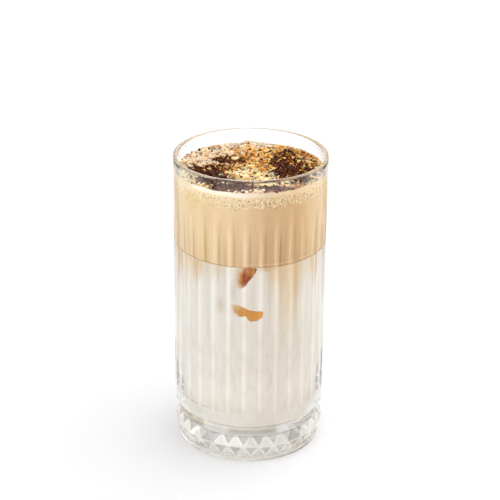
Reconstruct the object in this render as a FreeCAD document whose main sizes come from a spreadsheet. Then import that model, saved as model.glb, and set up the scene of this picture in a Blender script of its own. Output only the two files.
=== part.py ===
import FreeCAD, Part
import math
import os
import Sketcher
from FreeCAD import Rotation, Vector

# Dalgona coffee in its fluted highball glass. Millimetres, +Z up, origin under the
# middle of the foot; -Y is the side that faces the drinker.
sizes = {
    "glassHeight": 150.0,      # foot to lip
    "glassRadius": 37.4,       # outside of the body and the lip
    "lipWall": 2.1,            # wall at the lip, rounded over
    "shoulderWall": 4.3,       # wall where the inside starts to taper
    "shoulderRise": 52.0,      # cavity floor to that place
    "shoulderBlend": 70.0,     # radius of the soft bend there
    "heelWall": 18.6,          # wall at the cavity floor
    "heelBlend": 6.0,         # radius of the cavity's bottom corner
    "floorThickness": 10.5,    # glass under the drink
    "recessDepth": 1.2,        # hollow under the foot
    "footRing": 6.5,           # width of the ring that it stands on
    "footInset": 1.8,          # foot inside the body's outline
    "footHeight": 2.9,         # smooth foot under the diamonds
    "footRound": 0.9,
    "diamondHeight": 11.5,     # band of cut diamonds
    "diamondInset": 2.4,       # top of the diamonds inside the body's outline
    "diamondUndercut": 2.2,    # bottom of the diamonds inside the body's outline
    "girdleRise": 6.2,         # foot to the diamonds' widest line
    "bandCore": 4.0,           # plain core behind the diamonds, inside the outline
    "waistHeight": 5.0,        # smooth groove over the diamonds
    "waistInset": 2.2,
    "ledgeHeight": 1.6,        # slope from the groove out to the body
    "ledgeRound": 0.8,
    "fluteGap": 5.5,           # smooth stretch from the ledge to the flutes
    "fluteCount": 30,
    "fluteDepth": 0.6,
    "ridgeLand": 0.35,         # land left between two flutes
    "fluteBend": 270.0,        # radius of the bend in which a flute runs out at its top
    "lipBand": 17.0,           # smooth stretch under the lip
    "fluteTurn": 8.1,          # azimuth of the first flute, degrees
    "freeboard": 7.2,          # lip to the mean level of the foam
    "foamDepth": 8.0,
    "coffeeDepth": 29.3,
    "foamMound": 0.45,         # middle of the foam above its edge
    "foamTilt": 0.45,          # foam higher at the front than in the middle
    "foamRipple": 0.3,
    "rippleLength": 11.0,
}

doc = FreeCAD.newDocument("dalgonaCoffee")
sheet = doc.addObject("Spreadsheet::Sheet", "sizes")


def writeCells(values, firstRow):
    for row, (name, value) in enumerate(values.items(), start=firstRow):
        sheet.set(f"A{row}", name)
        sheet.set(f"B{row}", str(value))
        sheet.setAlias(f"B{row}", name)
    doc.recompute()


writeCells(sizes, 1)

ledgeTop = "footHeight + diamondHeight + waistHeight + ledgeHeight"
milkTop = "glassHeight - freeboard - foamDepth - coffeeDepth"
coffeeTop = "glassHeight - freeboard - foamDepth"


def terms(words):
    """Signs and names of a sum such as 'glassRadius - lipWall'."""
    sign = 1
    for word in words.split():
        if word in ("+", "-"):
            sign = 1 if word == "+" else -1
        else:
            yield sign, word


def total(words):
    """Value of such a sum; None is nought."""
    return sum(sign * sheet.get(name) for sign, name in terms(words or ""))


def bound(words):
    """The same sum as an expression on the sheet."""
    signs = {1: "+", -1: "-"}
    return "0 " + " ".join(f"{signs[sign]} sizes.{name}" for sign, name in terms(words or ""))


def newBody(label):
    body = doc.addObject("PartDesign::Body", label)
    body.Label = label
    return body


def newSketch(body, name):
    """Upright sketch through the axis: its x is the radius, its y the height."""
    sketch = body.newObject("Sketcher::SketchObject", name)
    planes = body.Origin.OriginFeatures
    upright = next(plane for plane in planes if plane.Role == "XZ_Plane")
    sketch.AttachmentSupport = [(upright, "")]
    sketch.MapMode = "FlatFace"
    return sketch


def pin(sketch, edge, end, across, up):
    """Hold one end of an edge at named sums; None holds it on the axis itself."""
    for kind, words, axis in (("DistanceX", across, -2), ("DistanceY", up, -1)):
        if words is None:
            sketch.addConstraint(Sketcher.Constraint("PointOnObject", edge, end, axis))
        elif words:
            hold = Sketcher.Constraint(kind, -1, 1, edge, end, total(words))
            row = sketch.addConstraint(hold)
            sketch.setExpression(f"Constraints[{row}]", bound(words))


def polygonSketch(body, name, corners):
    """Closed outline of straight edges with every corner held by named sums."""
    sketch = newSketch(body, name)
    places = [Vector(total(across), total(up), 0) for across, up in corners]
    for here, there in zip(places, places[1:] + places[:1]):
        sketch.addGeometry(Part.LineSegment(here, there), False)
    for index, (across, up) in enumerate(corners):
        before = (index - 1) % len(corners)
        sketch.addConstraint(Sketcher.Constraint("Coincident", before, 2, index, 1))
        pin(sketch, index, 1, across, up)
    return sketch


def turn(body, name, kind, sketch, axis):
    turned = body.newObject(kind, name)
    turned.Profile = sketch
    turned.ReferenceAxis = (sketch, [axis])
    turned.Angle = 360
    return turned


def roundRings(body, base, name, rings, size):
    """Fillet the round edges that lie at the given radii and heights."""
    doc.recompute()
    names = []
    for index, edge in enumerate(base.Shape.Edges, start=1):
        for across, up in rings:
            curve = edge.Curve
            if not isinstance(curve, Part.Circle):
                continue
            if abs(curve.Radius - total(across)) + abs(curve.Center.z - total(up)) < 0.01:
                names.append(f"Edge{index}")
    rounded = body.newObject("PartDesign::Fillet", name)
    rounded.Base = (base, names)
    rounded.setExpression("Radius", bound(size))
    return rounded


def buildCavity():
    """What the glass holds: a drafted bore that tapers to a floor with a round heel."""
    body = newBody("cavity")
    heel = ("glassRadius - heelWall", "floorThickness")
    shoulder = ("glassRadius - shoulderWall", "floorThickness + shoulderRise")
    mouth = ("glassRadius - lipWall", "glassHeight")
    corners = [(None, heel[1]), heel, shoulder, mouth, (None, mouth[1])]
    sketch = polygonSketch(body, "cavityOutline", corners)
    bore = turn(body, "cavityTurn", "PartDesign::Revolution", sketch, "V_Axis")
    heeled = roundRings(body, bore, "heelRound", [heel], "heelBlend")
    roundRings(body, heeled, "shoulderRound", [shoulder], "shoulderBlend")
    return body


def fluteSizes():
    """Places of the round cutter that sinks one flute, worked out from the sheet."""
    reach = total("glassRadius")
    depth = total("fluteDepth")
    bend = total("fluteBend")
    half = math.pi / sheet.get("fluteCount") - sheet.get("ridgeLand") / 2 / reach
    across = reach * math.sin(half)
    sag = reach * math.cos(half) - (reach - depth)
    cutter = (across ** 2 + sag ** 2) / (2 * sag)
    low = total(ledgeTop + " + fluteGap") + math.sqrt(2 * cutter * depth)
    high = total("glassHeight - lipBand") - math.sqrt(2 * bend * depth)
    return {
        "cutterAxis": reach - depth + cutter,
        "cutterBottom": low - cutter,
        "cutterLow": low,
        "cutterHigh": high,
        "cutterOut": reach + depth,
        "cutterExit": high + math.sqrt(bend ** 2 - (bend - 2 * depth) ** 2),
    }


def fluteSketch(body):
    """Half outline of the cutter: round below, straight, then bending out of the glass."""
    corners = [
        ("cutterAxis", "cutterBottom"),
        ("glassRadius - fluteDepth", "cutterLow"),
        ("glassRadius - fluteDepth", "cutterHigh"),
        ("cutterOut", "cutterExit"),
        ("cutterAxis", "cutterExit"),
    ]
    places = [Vector(total(across), total(up), 0) for across, up in corners]
    bottom, wallLow, wallHigh, out, top = places
    slant = (bottom.x - wallLow.x) * math.sqrt(0.5)
    belly = Vector(bottom.x - slant, wallLow.y - slant, 0)
    bend = total("fluteBend")
    rise = (out.y - wallHigh.y) / 2
    middle = Vector(wallHigh.x + bend - math.sqrt(bend ** 2 - rise ** 2), wallHigh.y + rise, 0)
    sketch = newSketch(body, "fluteOutline")
    for edge in (Part.Arc(wallLow, belly, bottom), Part.LineSegment(wallLow, wallHigh),
                 Part.Arc(out, middle, wallHigh), Part.LineSegment(out, top),
                 Part.LineSegment(top, bottom)):
        sketch.addGeometry(edge, False)
    sketch.addGeometry(Part.LineSegment(bottom, top), True)
    for edge, end, corner in ((4, 2, 0), (1, 1, 1), (1, 2, 2), (3, 1, 3), (4, 1, 4)):
        pin(sketch, edge, end, *corners[corner])
    pin(sketch, 0, 3, "", "cutterLow")
    pin(sketch, 2, 3, "", "cutterHigh")
    joints = [(0, 1, 1, 1), (0, 2, 4, 2), (2, 1, 3, 1), (2, 2, 1, 2), (3, 2, 4, 1)]
    for joint in joints + [(5, 1, 4, 2), (5, 2, 4, 1)]:
        sketch.addConstraint(Sketcher.Constraint("Coincident", *joint))
    return sketch


def buildBlank():
    """The pressed outside of the glass: foot, core of the band, waist, ledge and flutes."""
    body = newBody("blank")
    band = "footHeight + diamondHeight"
    waist = band + " + waistHeight"
    foot = "glassRadius - footInset"
    hollow = foot + " - footRing"
    outside = [
        (foot, None),
        (foot, "footHeight"),
        ("glassRadius - bandCore", "footHeight"),
        ("glassRadius - bandCore", band),
        ("glassRadius - waistInset", band),
        ("glassRadius - waistInset", waist),
        ("glassRadius", ledgeTop),
        ("glassRadius", "glassHeight"),
        (None, "glassHeight"),
    ]
    under = [(None, "recessDepth"), (hollow + " - recessDepth", "recessDepth"), (hollow, None)]
    sketch = polygonSketch(body, "blankOutline", under + outside)
    plain = turn(body, "blankTurn", "PartDesign::Revolution", sketch, "V_Axis")
    footed = roundRings(body, plain, "footEdge", [(foot, None)], "footRound")
    ledge = [("glassRadius - waistInset", waist), ("glassRadius", ledgeTop)]
    ledged = roundRings(body, footed, "ledgeEdges", ledge, "ledgeRound")
    flute = turn(body, "flute", "PartDesign::Groove", fluteSketch(body), "Axis0")
    doc.recompute()
    if flute.Shape.Volume > ledged.Shape.Volume - 1:
        raise RuntimeError("the flute cut nothing")
    flutes = body.newObject("PartDesign::PolarPattern", "flutes")
    flutes.Originals = [flute]
    flutes.Axis = (sketch, ["V_Axis"])
    flutes.Angle = 360
    flutes.setExpression("Occurrences", "sizes.fluteCount")
    body.Tip = flutes
    body.setExpression("Placement.Rotation.Angle", "sizes.fluteTurn")
    return body


def buildDiamonds():
    """Band of facets: three rings of corners, the middle one turned by half a pitch."""
    count = int(sheet.get("fluteCount"))
    foot = total("footHeight")

    def ring(radius, height, shift):
        angles = [2 * math.pi * (place + shift) / count for place in range(count)]
        return [Vector(radius * math.cos(a), radius * math.sin(a), height) for a in angles]

    low = ring(total("glassRadius - diamondUndercut"), foot, 0)
    girdle = ring(total("glassRadius"), foot + total("girdleRise"), 0.5)
    high = ring(total("glassRadius - diamondInset"), foot + total("diamondHeight"), 0)
    faces = []
    for here in range(count):
        there = (here + 1) % count
        for edge in (low, high):
            faces.append((edge[here], edge[there], girdle[here]))
            faces.append((girdle[here - 1], girdle[here], edge[here]))
    faces += [low, high]
    sheets = [Part.Face(Part.makePolygon(list(face) + [face[0]])) for face in faces]
    band = doc.addObject("Part::Feature", "diamonds")
    band.Shape = Part.Solid(Part.Shell(sheets))
    band.Placement.Rotation = Rotation(Vector(0, 0, 1), sheet.get("fluteTurn"))
    return band


def buildGlass(blank, diamonds, cavity):
    pressed = doc.addObject("Part::Fuse", "pressed")
    pressed.Base = blank
    pressed.Tool = diamonds
    hollowed = doc.addObject("Part::Cut", "hollowed")
    hollowed.Base = pressed
    hollowed.Tool = cavity
    doc.recompute()
    glass = doc.addObject("Part::Fillet", "glass")
    glass.Base = hollowed
    size = total("lipWall") * 0.49
    lip = []
    for index, edge in enumerate(hollowed.Shape.Edges, start=1):
        round_ = isinstance(edge.Curve, Part.Circle)
        if round_ and abs(edge.Curve.Center.z - total("glassHeight")) < 0.01:
            lip.append((index, size, size))
    glass.Edges = lip
    return glass


def foamHeight(x, y):
    """Top of the foam: mounded, tilted towards the front, with soft ripples."""
    reach = total("glassRadius")
    length = total("rippleLength")
    far = (x * x + y * y) / reach ** 2
    ripple = math.sin(x / length * 4.1 + 1.1) * math.cos(y / length * 3.7 + 0.4)
    ripple += 0.5 * math.sin((x + 0.6 * y) / length * 7.3 + 2.0)
    level = total("glassHeight - freeboard")
    return (level + total("foamMound") * (1 - far) - total("foamTilt") * y / reach
            + total("foamRipple") * ripple / 1.5)


def slab(name, low, high):
    """Round slab wider than the cavity, between two levels."""
    block = doc.addObject("Part::Cylinder", name)
    block.setExpression("Radius", "sizes.glassRadius")
    block.setExpression("Placement.Base.z", bound(low))
    block.setExpression("Height", f"{bound(high)} - ({bound(low)})")
    return block


def foamSlab():
    """Round slab whose top is the foam's uneven surface."""
    reach = total("glassRadius") + 1
    steps = 28
    places = [reach * (2 * step / steps - 1) for step in range(steps + 1)]
    grid = [[Vector(x, y, foamHeight(x, y)) for y in places] for x in places]
    skin = Part.BSplineSurface()
    skin.interpolate(grid)
    above = skin.toShape().extrude(Vector(0, 0, total("freeboard") + 20))
    column = Part.makeCylinder(reach - 1, total("foamDepth + freeboard"),
                               Vector(0, 0, total(coffeeTop)))
    block = doc.addObject("Part::Feature", "foamSlab")
    block.Shape = column.cut(above)
    return block


def fill(label, cavity, block):
    """The part of the cavity that a slab takes up."""
    layer = doc.addObject("Part::Common", label)
    layer.Base = cavity
    layer.Tool = block
    layer.Label = label
    return layer


writeCells(fluteSizes(), len(sizes) + 1)
cavity = buildCavity()
glass = buildGlass(buildBlank(), buildDiamonds(), cavity)
milk = fill("milk", cavity, slab("milkSlab", None, milkTop))
coffee = fill("coffee", cavity, slab("coffeeSlab", milkTop, coffeeTop))
foam = fill("foam", cavity, foamSlab())
doc.recompute()

for item in doc.Objects:
    if "Invalid" in item.State or "Error" in item.State:
        raise RuntimeError(f"{item.Label} did not build: {item.State}")
os.makedirs("parts", exist_ok=True)
for node in (glass, milk, coffee, foam):
    shape = node.Shape
    if shape.isNull() or not shape.isValid() or len(shape.Solids) != 1:
        raise RuntimeError(f"{node.Label} is not one sound solid")
    shape.exportStep(f"parts/{node.Label}.step")
    print(node.Label, round(shape.Volume), "mm3", len(shape.Faces), "faces", shape.BoundBox)
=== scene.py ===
import math
import random
import bmesh
import bpy
from mathutils import Matrix, Vector, noise


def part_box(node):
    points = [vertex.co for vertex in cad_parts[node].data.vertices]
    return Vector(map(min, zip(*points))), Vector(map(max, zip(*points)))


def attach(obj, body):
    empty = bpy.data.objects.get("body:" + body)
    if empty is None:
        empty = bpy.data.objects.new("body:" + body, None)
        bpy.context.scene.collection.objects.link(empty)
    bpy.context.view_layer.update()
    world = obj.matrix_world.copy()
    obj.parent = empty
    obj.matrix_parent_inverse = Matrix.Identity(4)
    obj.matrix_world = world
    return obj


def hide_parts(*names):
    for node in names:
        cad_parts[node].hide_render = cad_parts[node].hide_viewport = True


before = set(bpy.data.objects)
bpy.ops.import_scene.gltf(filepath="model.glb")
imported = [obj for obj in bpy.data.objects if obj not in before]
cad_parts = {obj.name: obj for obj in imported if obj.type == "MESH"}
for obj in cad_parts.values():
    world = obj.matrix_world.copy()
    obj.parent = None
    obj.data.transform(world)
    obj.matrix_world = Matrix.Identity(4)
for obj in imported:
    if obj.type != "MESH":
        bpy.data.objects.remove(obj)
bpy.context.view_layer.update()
noise.seed_set(3)       # without a seed of its own, vector noise differs from run to run

# Lengths in the dictionaries are millimetres; meshes are scaled to metres when a piece is made
mm = 0.001
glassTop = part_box("glass")[1]
glassHeight = glassTop.z / mm
glassRadius = glassTop.x / mm
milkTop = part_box("milk")[1].z / mm
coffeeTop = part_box("coffee")[1].z / mm


class Field:
    # A number inside a node tree, so that a rule can be written as a sum
    def __init__(self, tree, socket):
        self.tree = tree
        self.socket = socket

    def do(self, operation, *others):
        made = self.tree.nodes.new("ShaderNodeMath")
        made.operation = operation
        for place, item in enumerate((self,) + others):
            if isinstance(item, Field):
                self.tree.links.new(item.socket, made.inputs[place])
            else:
                made.inputs[place].default_value = item
        return Field(self.tree, made.outputs[0])

    def __add__(self, other):
        return self.do("ADD", other)

    def __sub__(self, other):
        return self.do("SUBTRACT", other)

    def __mul__(self, other):
        return self.do("MULTIPLY", other)

    def __truediv__(self, other):
        return self.do("DIVIDE", other)

    def size(self):
        return self.do("ABSOLUTE")

    def positive(self):
        return self.do("MAXIMUM", 0.0)

    def softMin(self, other, width):
        return self.do("SMOOTH_MIN", other, width)

    def rest(self):
        # What is left of one whole
        return self * -1.0 + 1.0


def newTree(name, sizes):
    # An empty geometry tree with one named input for each size
    tree = bpy.data.node_groups.new(name, "GeometryNodeTree")
    tree.interface.new_socket("Geometry", in_out="INPUT", socket_type="NodeSocketGeometry")
    tree.interface.new_socket("Geometry", in_out="OUTPUT", socket_type="NodeSocketGeometry")
    for label, value in sizes.items():
        kind = "NodeSocketInt" if isinstance(value, int) else "NodeSocketFloat"
        tree.interface.new_socket(label, in_out="INPUT", socket_type=kind)
    start = tree.nodes.new("NodeGroupInput")
    return tree, start, {label: Field(tree, start.outputs[label]) for label in sizes}


def node(tree, kind, links=(), **values):
    # Adds a node; links maps its inputs to sockets, fields or numbers, values set its properties
    made = tree.nodes.new(kind)
    for key, value in values.items():
        setattr(made, key, value)
    for key, value in dict(links).items():
        if isinstance(value, Field):
            value = value.socket
        if isinstance(value, bpy.types.NodeSocket):
            tree.links.new(value, made.inputs[key])
        else:
            made.inputs[key].default_value = value
    return made


def closeTree(tree, geometry, material):
    # Every tree ends in real geometry with its material
    real = node(tree, "GeometryNodeRealizeInstances", {"Geometry": geometry})
    painted = node(tree, "GeometryNodeSetMaterial", {"Geometry": real.outputs[0]})
    painted.inputs["Material"].default_value = material
    node(tree, "NodeGroupOutput", {"Geometry": painted.outputs[0]})


def grow(base, tree, sizes):
    # Runs a tree on a mesh and returns what it makes as a plain mesh
    holder = bpy.data.objects.new("holder", base)
    bpy.context.collection.objects.link(holder)
    modifier = holder.modifiers.new("shape", "NODES")
    modifier.node_group = tree
    for item in tree.interface.items_tree:
        if item.in_out == "INPUT" and item.name in sizes:
            modifier[item.identifier] = sizes[item.name]
    graph = bpy.context.evaluated_depsgraph_get()
    mesh = bpy.data.meshes.new_from_object(holder.evaluated_get(graph))
    bpy.data.objects.remove(holder)
    return mesh


def plainMesh(name, shell):
    data = bpy.data.meshes.new(name)
    shell.to_mesh(data)
    shell.free()
    return data


def turns(columns):
    return [2 * math.pi * place / columns for place in range(columns)]


def ring(shell, columns, radius, height):
    # A loop of vertices round the axis; radius and height are functions of the angle
    return [shell.verts.new((radius(a) * math.cos(a), radius(a) * math.sin(a), height(a)))
            for a in turns(columns)]


def skin(shell, loops):
    # Faces between each loop of vertices and the next
    for below, above in zip(loops, loops[1:]):
        for place in range(len(below)):
            ahead = (place + 1) % len(below)
            shell.faces.new((below[place], below[ahead], above[ahead], above[place]))


def cap(shell, loop, middle):
    for place in range(len(loop)):
        shell.faces.new((middle, loop[place], loop[(place + 1) % len(loop)]))


def newPiece(name, mesh, slot, *replaced, material=None, smooth=True):
    # A finished piece: metres, faces outwards, riding on the one body
    mesh.name = name
    mesh.transform(Matrix.Scale(mm, 4))
    shell = bmesh.new()
    shell.from_mesh(mesh)
    if shell.calc_volume(signed=True) < 0:
        bmesh.ops.reverse_faces(shell, faces=shell.faces)
    shell.to_mesh(mesh)
    shell.free()
    if material:
        mesh.materials.clear()
        mesh.materials.append(material)
    if smooth:
        mesh.shade_smooth()
        mesh.set_sharp_from_angle(angle=math.radians(50))
    else:
        mesh.shade_flat()
    piece = bpy.data.objects.new(name, mesh)
    bpy.context.collection.objects.link(piece)
    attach(piece, "root")
    if replaced:
        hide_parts(*replaced)
    print("made", name, len(mesh.polygons), "faces")


def roundedRun(corners, steps=6):
    # Straight runs between (radius, height, round) corners, each corner an arc of that radius
    points = []
    for index, (across, up, bend) in enumerate(corners):
        corner = Vector((across, up))
        if bend == 0 or index in (0, len(corners) - 1):
            points.append(corner)
            continue
        back = (Vector(corners[index - 1][:2]) - corner).normalized()
        ahead = (Vector(corners[index + 1][:2]) - corner).normalized()
        half = back.angle(ahead) / 2
        centre = corner + (back + ahead).normalized() * bend / math.sin(half)
        start = corner + back * bend / math.tan(half) - centre
        end = corner + ahead * bend / math.tan(half) - centre
        sweep = start.angle_signed(end)
        for step in range(steps + 1):
            turned = start.copy()
            turned.rotate(Matrix.Rotation(-sweep * step / steps, 2))
            points.append(centre + turned)
    return points


def refine(points, longest):
    # Splits each stretch so that none is longer than longest(middle of the stretch)
    result = [points[0]]
    for here, there in zip(points, points[1:]):
        count = max(1, math.ceil((there - here).length / longest((here + there) / 2)))
        result += [here.lerp(there, step / count) for step in range(1, count + 1)]
    return result


def newMaterial(name, **plain):
    # A shader with plain values on the inputs that are named
    material = bpy.data.materials.new(name)
    material.use_nodes = True
    shader = material.node_tree.nodes["Principled BSDF"]
    for label, value in plain.items():
        shader.inputs[label.replace("_", " ")].default_value = value
    return material, material.node_tree, shader


def colour(red, green, blue):
    # A screen colour, 0 to 255, as the linear colour that a shader takes
    values = []
    for part in (red, green, blue):
        part /= 255
        values.append(part / 12.92 if part <= 0.04045 else ((part + 0.055) / 1.055) ** 2.4)
    return (*values, 1.0)


def tintVector(tint):
    return Vector(colour(*tint)[:3])


def objectPlace(tree):
    # Object coordinates in millimetres, and the azimuth as the flutes count it
    spot = node(tree, "ShaderNodeTexCoord").outputs["Object"]
    split = node(tree, "ShaderNodeSeparateXYZ", {0: spot})
    x, y, z = [Field(tree, split.outputs[axis]) / mm for axis in range(3)]
    return spot, x, y, z, y.do("ARCTAN2", x)


def frontAngle(x, y):
    # Degrees round the drink from its front, positive to the right
    return x.do("ARCTAN2", y * -1.0) * math.degrees(1)


def attribute(tree, name):
    return Field(tree, node(tree, "ShaderNodeAttribute", attribute_name=name).outputs["Fac"])


def ramp(share, low, high):
    # 0 before low, 1 past high, smooth between; a low above the high turns it round
    limits = {"Value": share, "From Min": low, "From Max": high}
    made = node(share.tree, "ShaderNodeMapRange", limits, interpolation_type="SMOOTHSTEP")
    return Field(share.tree, made.outputs[0])


def hump(share, middle, reach):
    # 1 at the middle, 0 from reach on either side of it
    return ramp((share - middle).size(), reach, 0.0)


def mixed(tree, share, first, second, kind="MIX"):
    # The first colour under a share of the second; the mix node names its sockets twice over,
    # so they are counted: 0 is the share, 6 and 7 the colours, 2 the mixed colour
    sockets = {0: share, 6: first, 7: second}
    return node(tree, "ShaderNodeMix", sockets, data_type="RGBA", blend_type=kind).outputs[2]


def layered(tree, tint, look, layers):
    # Lays colours of the look over a tint in turn; a layer is (share, name of its colour)
    for share, name in layers:
        kind = "MULTIPLY" if name in look["stains"] else "MIX"
        tint = mixed(tree, share, tint, colour(*look[name]), kind)
    return tint


def colourRun(tree, share, low, high, stops):
    # Colours at named places along a length, softly blended
    made = node(tree, "ShaderNodeValToRGB", {0: (share - low) / (high - low)})
    band = made.color_ramp
    while len(band.elements) < len(stops):
        band.elements.new(0.5)
    for element, (place, tint) in zip(band.elements, stops):
        element.position = (place - low) / (high - low)
        element.color = colour(*tint)
    return made.outputs[0]


def cloud(tree, spot, size, stretch=1.0, detail=3.0):
    # Soft noise between 0 and 1 whose lumps are about size millimetres, drawn out upwards
    mapped = node(tree, "ShaderNodeMapping", {"Vector": spot, "Scale": (1, 1, 1 / stretch)})
    made = node(tree, "ShaderNodeTexNoise", {"Vector": mapped.outputs[0], "Scale": 1 / (size * mm),
                                             "Detail": detail})
    return Field(tree, made.outputs[0])


def bump(tree, shader, height, strength, deep):
    # Fine unevenness, deep millimetres at most
    made = node(tree, "ShaderNodeBump", {"Height": height, "Strength": strength,
                                         "Distance": deep * mm})
    tree.links.new(made.outputs[0], shader.inputs["Normal"])


glassShape = {
    "lipWall": 2.1, "lipRound": 1.03, "shoulderWall": 4.3, "shoulderRise": 52.0,
    "shoulderBlend": 70.0, "heelWall": 18.6, "heelBlend": 6.0, "floorThickness": 10.5,
    "recessDepth": 1.2, "footRing": 6.5, "footInset": 1.8, "footHeight": 2.9, "footRound": 0.9,
    "diamondHeight": 11.5, "diamondInset": 2.4, "diamondUndercut": 2.2, "girdleRise": 6.2,
    "waistHeight": 5.0, "waistInset": 2.2, "ledgeHeight": 1.6, "ledgeRound": 0.8,
    "fluteGap": 5.5, "fluteBend": 270.0, "lipBand": 17.0, "columns": 600,
    "fluteCount": 30, "fluteDepth": 0.6, "fluteTurn": 8.1, "ridgeRound": 0.3, "edgeRound": 0.22,
}

glassLook = {
    # clear is the glass's own tint; thick, lower down, is the thick glass's own tint deepened by painted
    # shade; flute, groove, shadow and rim are painted shade, which leaves the ridges as painted light
    # lines
    "clear": (252, 254, 253), "thick": (239, 238, 235), "clearing": (12.0, 40.0),
    "flute": (231, 230, 224), "groove": (172, 165, 142), "shadow": (120, 112, 116),
    "rim": (186, 190, 194), "stains": (), "skin": 3.2,
    # Heights of the bands of painted shade, each with how far it reaches up and down
    "grooveBand": (16.8, 3.0), "ledgeLine": (19.4, 0.75), "bandLine": (13.9, 0.6),
    "stepLine": (28.4, 0.8), "footLine": (0.9, 0.9), "lipLine": (147.3, 0.4),
    # Where on the left and on the right the step and the foot's edge darken as painted shadow, and where
    # the facets turn paler as painted light, in degrees
    "stepSide": (-52.0, 50.0), "footSide": (45.0, 55.0), "shineSide": (50.0, 42.0),
    # Painted shade of each kind of facet: least, spread by chance, rise across the facet
    "facets": [(0.3, 0.24, 0.3), (0.92, 0.08, 0.0), (0.78, 0.2, 0.02), (0.34, 0.18, 0.2)],
    # Painted highlights: sparkle on the facet edges and faceGlint on the upper faces
    "touch": 0.03, "edge": 0.075, "sparkle": 0.52, "faceGlint": 0.4,
}


def ridgeShare(angle):
    # 0 in the middle of a flute, 1 on a ridge
    pitch = 2 * math.pi / glassShape["fluteCount"]
    turned = ((angle - math.radians(glassShape["fluteTurn"])) / pitch + 0.5).do("FRACT")
    return (turned - 0.5).size() * 2.0


def glassMaterial():
    # Clear pressed glass, with painted shade in the flutes, on the groove, under the ledge and round the
    # lip
    look = glassLook
    material, tree, shader = newMaterial("clearGlass", Roughness=0.0, IOR=1.5,
                                         Transmission_Weight=1.0)
    spot, x, y, z, angle = objectPlace(tree)
    front = frontAngle(x, y)
    far = (x * x + y * y).do("SQRT")
    outside = far.do("GREATER_THAN", glassRadius - look["skin"])
    ridge = ridgeShare(angle)
    fluted = ramp(z, 26.0, 30.0) * ramp(z, 132.0, 100.0)
    # The painted shade on the groove over the diamonds is darker in some stretches than in others
    stretch = (angle * 5.0 + 2.4).do("SINE") + (angle * 13.0).do("SINE") * 0.6
    step = hump(z, *look["stepLine"]) * ramp(ridge, 0.8, 0.6) * hump(front, *look["stepSide"])
    lip = ramp(z, 148.4, 149.0) * ramp(far, glassRadius - 1.3, glassRadius - 0.7)
    tint = mixed(tree, ramp(z, *look["clearing"]), colour(*look["thick"]), colour(*look["clear"]))
    # Painted shade: flutes darker so that the ridges stand as light lines, then the groove, shadow lines
    # at the ledge, band, step and foot, and the grey rim
    tint = layered(tree, tint, look, [
        (ramp(ridge, 0.86, 0.66) * fluted * outside, "flute"),
        (hump(z, *look["grooveBand"]) * outside * ramp(stretch, -0.1, 0.1), "groove"),
        (hump(z, *look["ledgeLine"]) * outside * 0.8, "shadow"),
        (hump(z, *look["bandLine"]) * outside * 0.5, "shadow"),
        (step * outside * 0.6, "shadow"),
        (hump(z, *look["footLine"]) * outside * hump(front, *look["footSide"]), "shadow"),
        ((lip + hump(z, *look["lipLine"]) * outside * 0.6) * 0.9, "rim"),
    ])
    # Every diamond facet has its own painted shade, warmer under the girdle and paler on the right as
    # painted light
    shine = attribute(tree, "shine")
    shine = shine + shine.rest() * hump(front, *look["shineSide"]) * 0.6
    warm = ramp(z, 9.6, 8.6) * ramp(z, 2.6, 3.4)
    facet = node(tree, "ShaderNodeCombineColor", {
        0: shine, 1: shine * (warm * -0.03 + 1.0), 2: shine * (warm * -0.08 + 1.0)})
    tint = mixed(tree, 1.0, tint, facet.outputs[0], "MULTIPLY")
    tree.links.new(tint, shader.inputs["Base Color"])
    # Painted highlights: facet edges and the upper faces turn partly metallic and flash
    tree.links.new(attribute(tree, "glint").socket, shader.inputs["Metallic"])
    bump(tree, shader, cloud(tree, spot, 7.0, 2.0, 1.0), 0.12, 0.4)
    return material


def cavityRun(reach=0.0):
    # Inside of the glass from the middle of its floor to the lip, moved out by reach
    s = glassShape
    floor = s["floorThickness"] - reach
    return roundedRun([
        (0, floor, 0),
        (glassRadius - s["heelWall"] + reach, floor, s["heelBlend"]),
        (glassRadius - s["shoulderWall"] + reach, s["floorThickness"] + s["shoulderRise"],
         s["shoulderBlend"]),
        (glassRadius - s["lipWall"] + reach, glassHeight, 0),
    ], steps=10)


def cavityRadius(height, reach=0.0):
    run = cavityRun(reach)
    for here, there in zip(run, run[1:]):
        if here.y <= height <= there.y and there.y > here.y:
            share = (height - here.y) / (there.y - here.y)
            return here.x + share * (there.x - here.x)
    return run[-1].x


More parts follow.
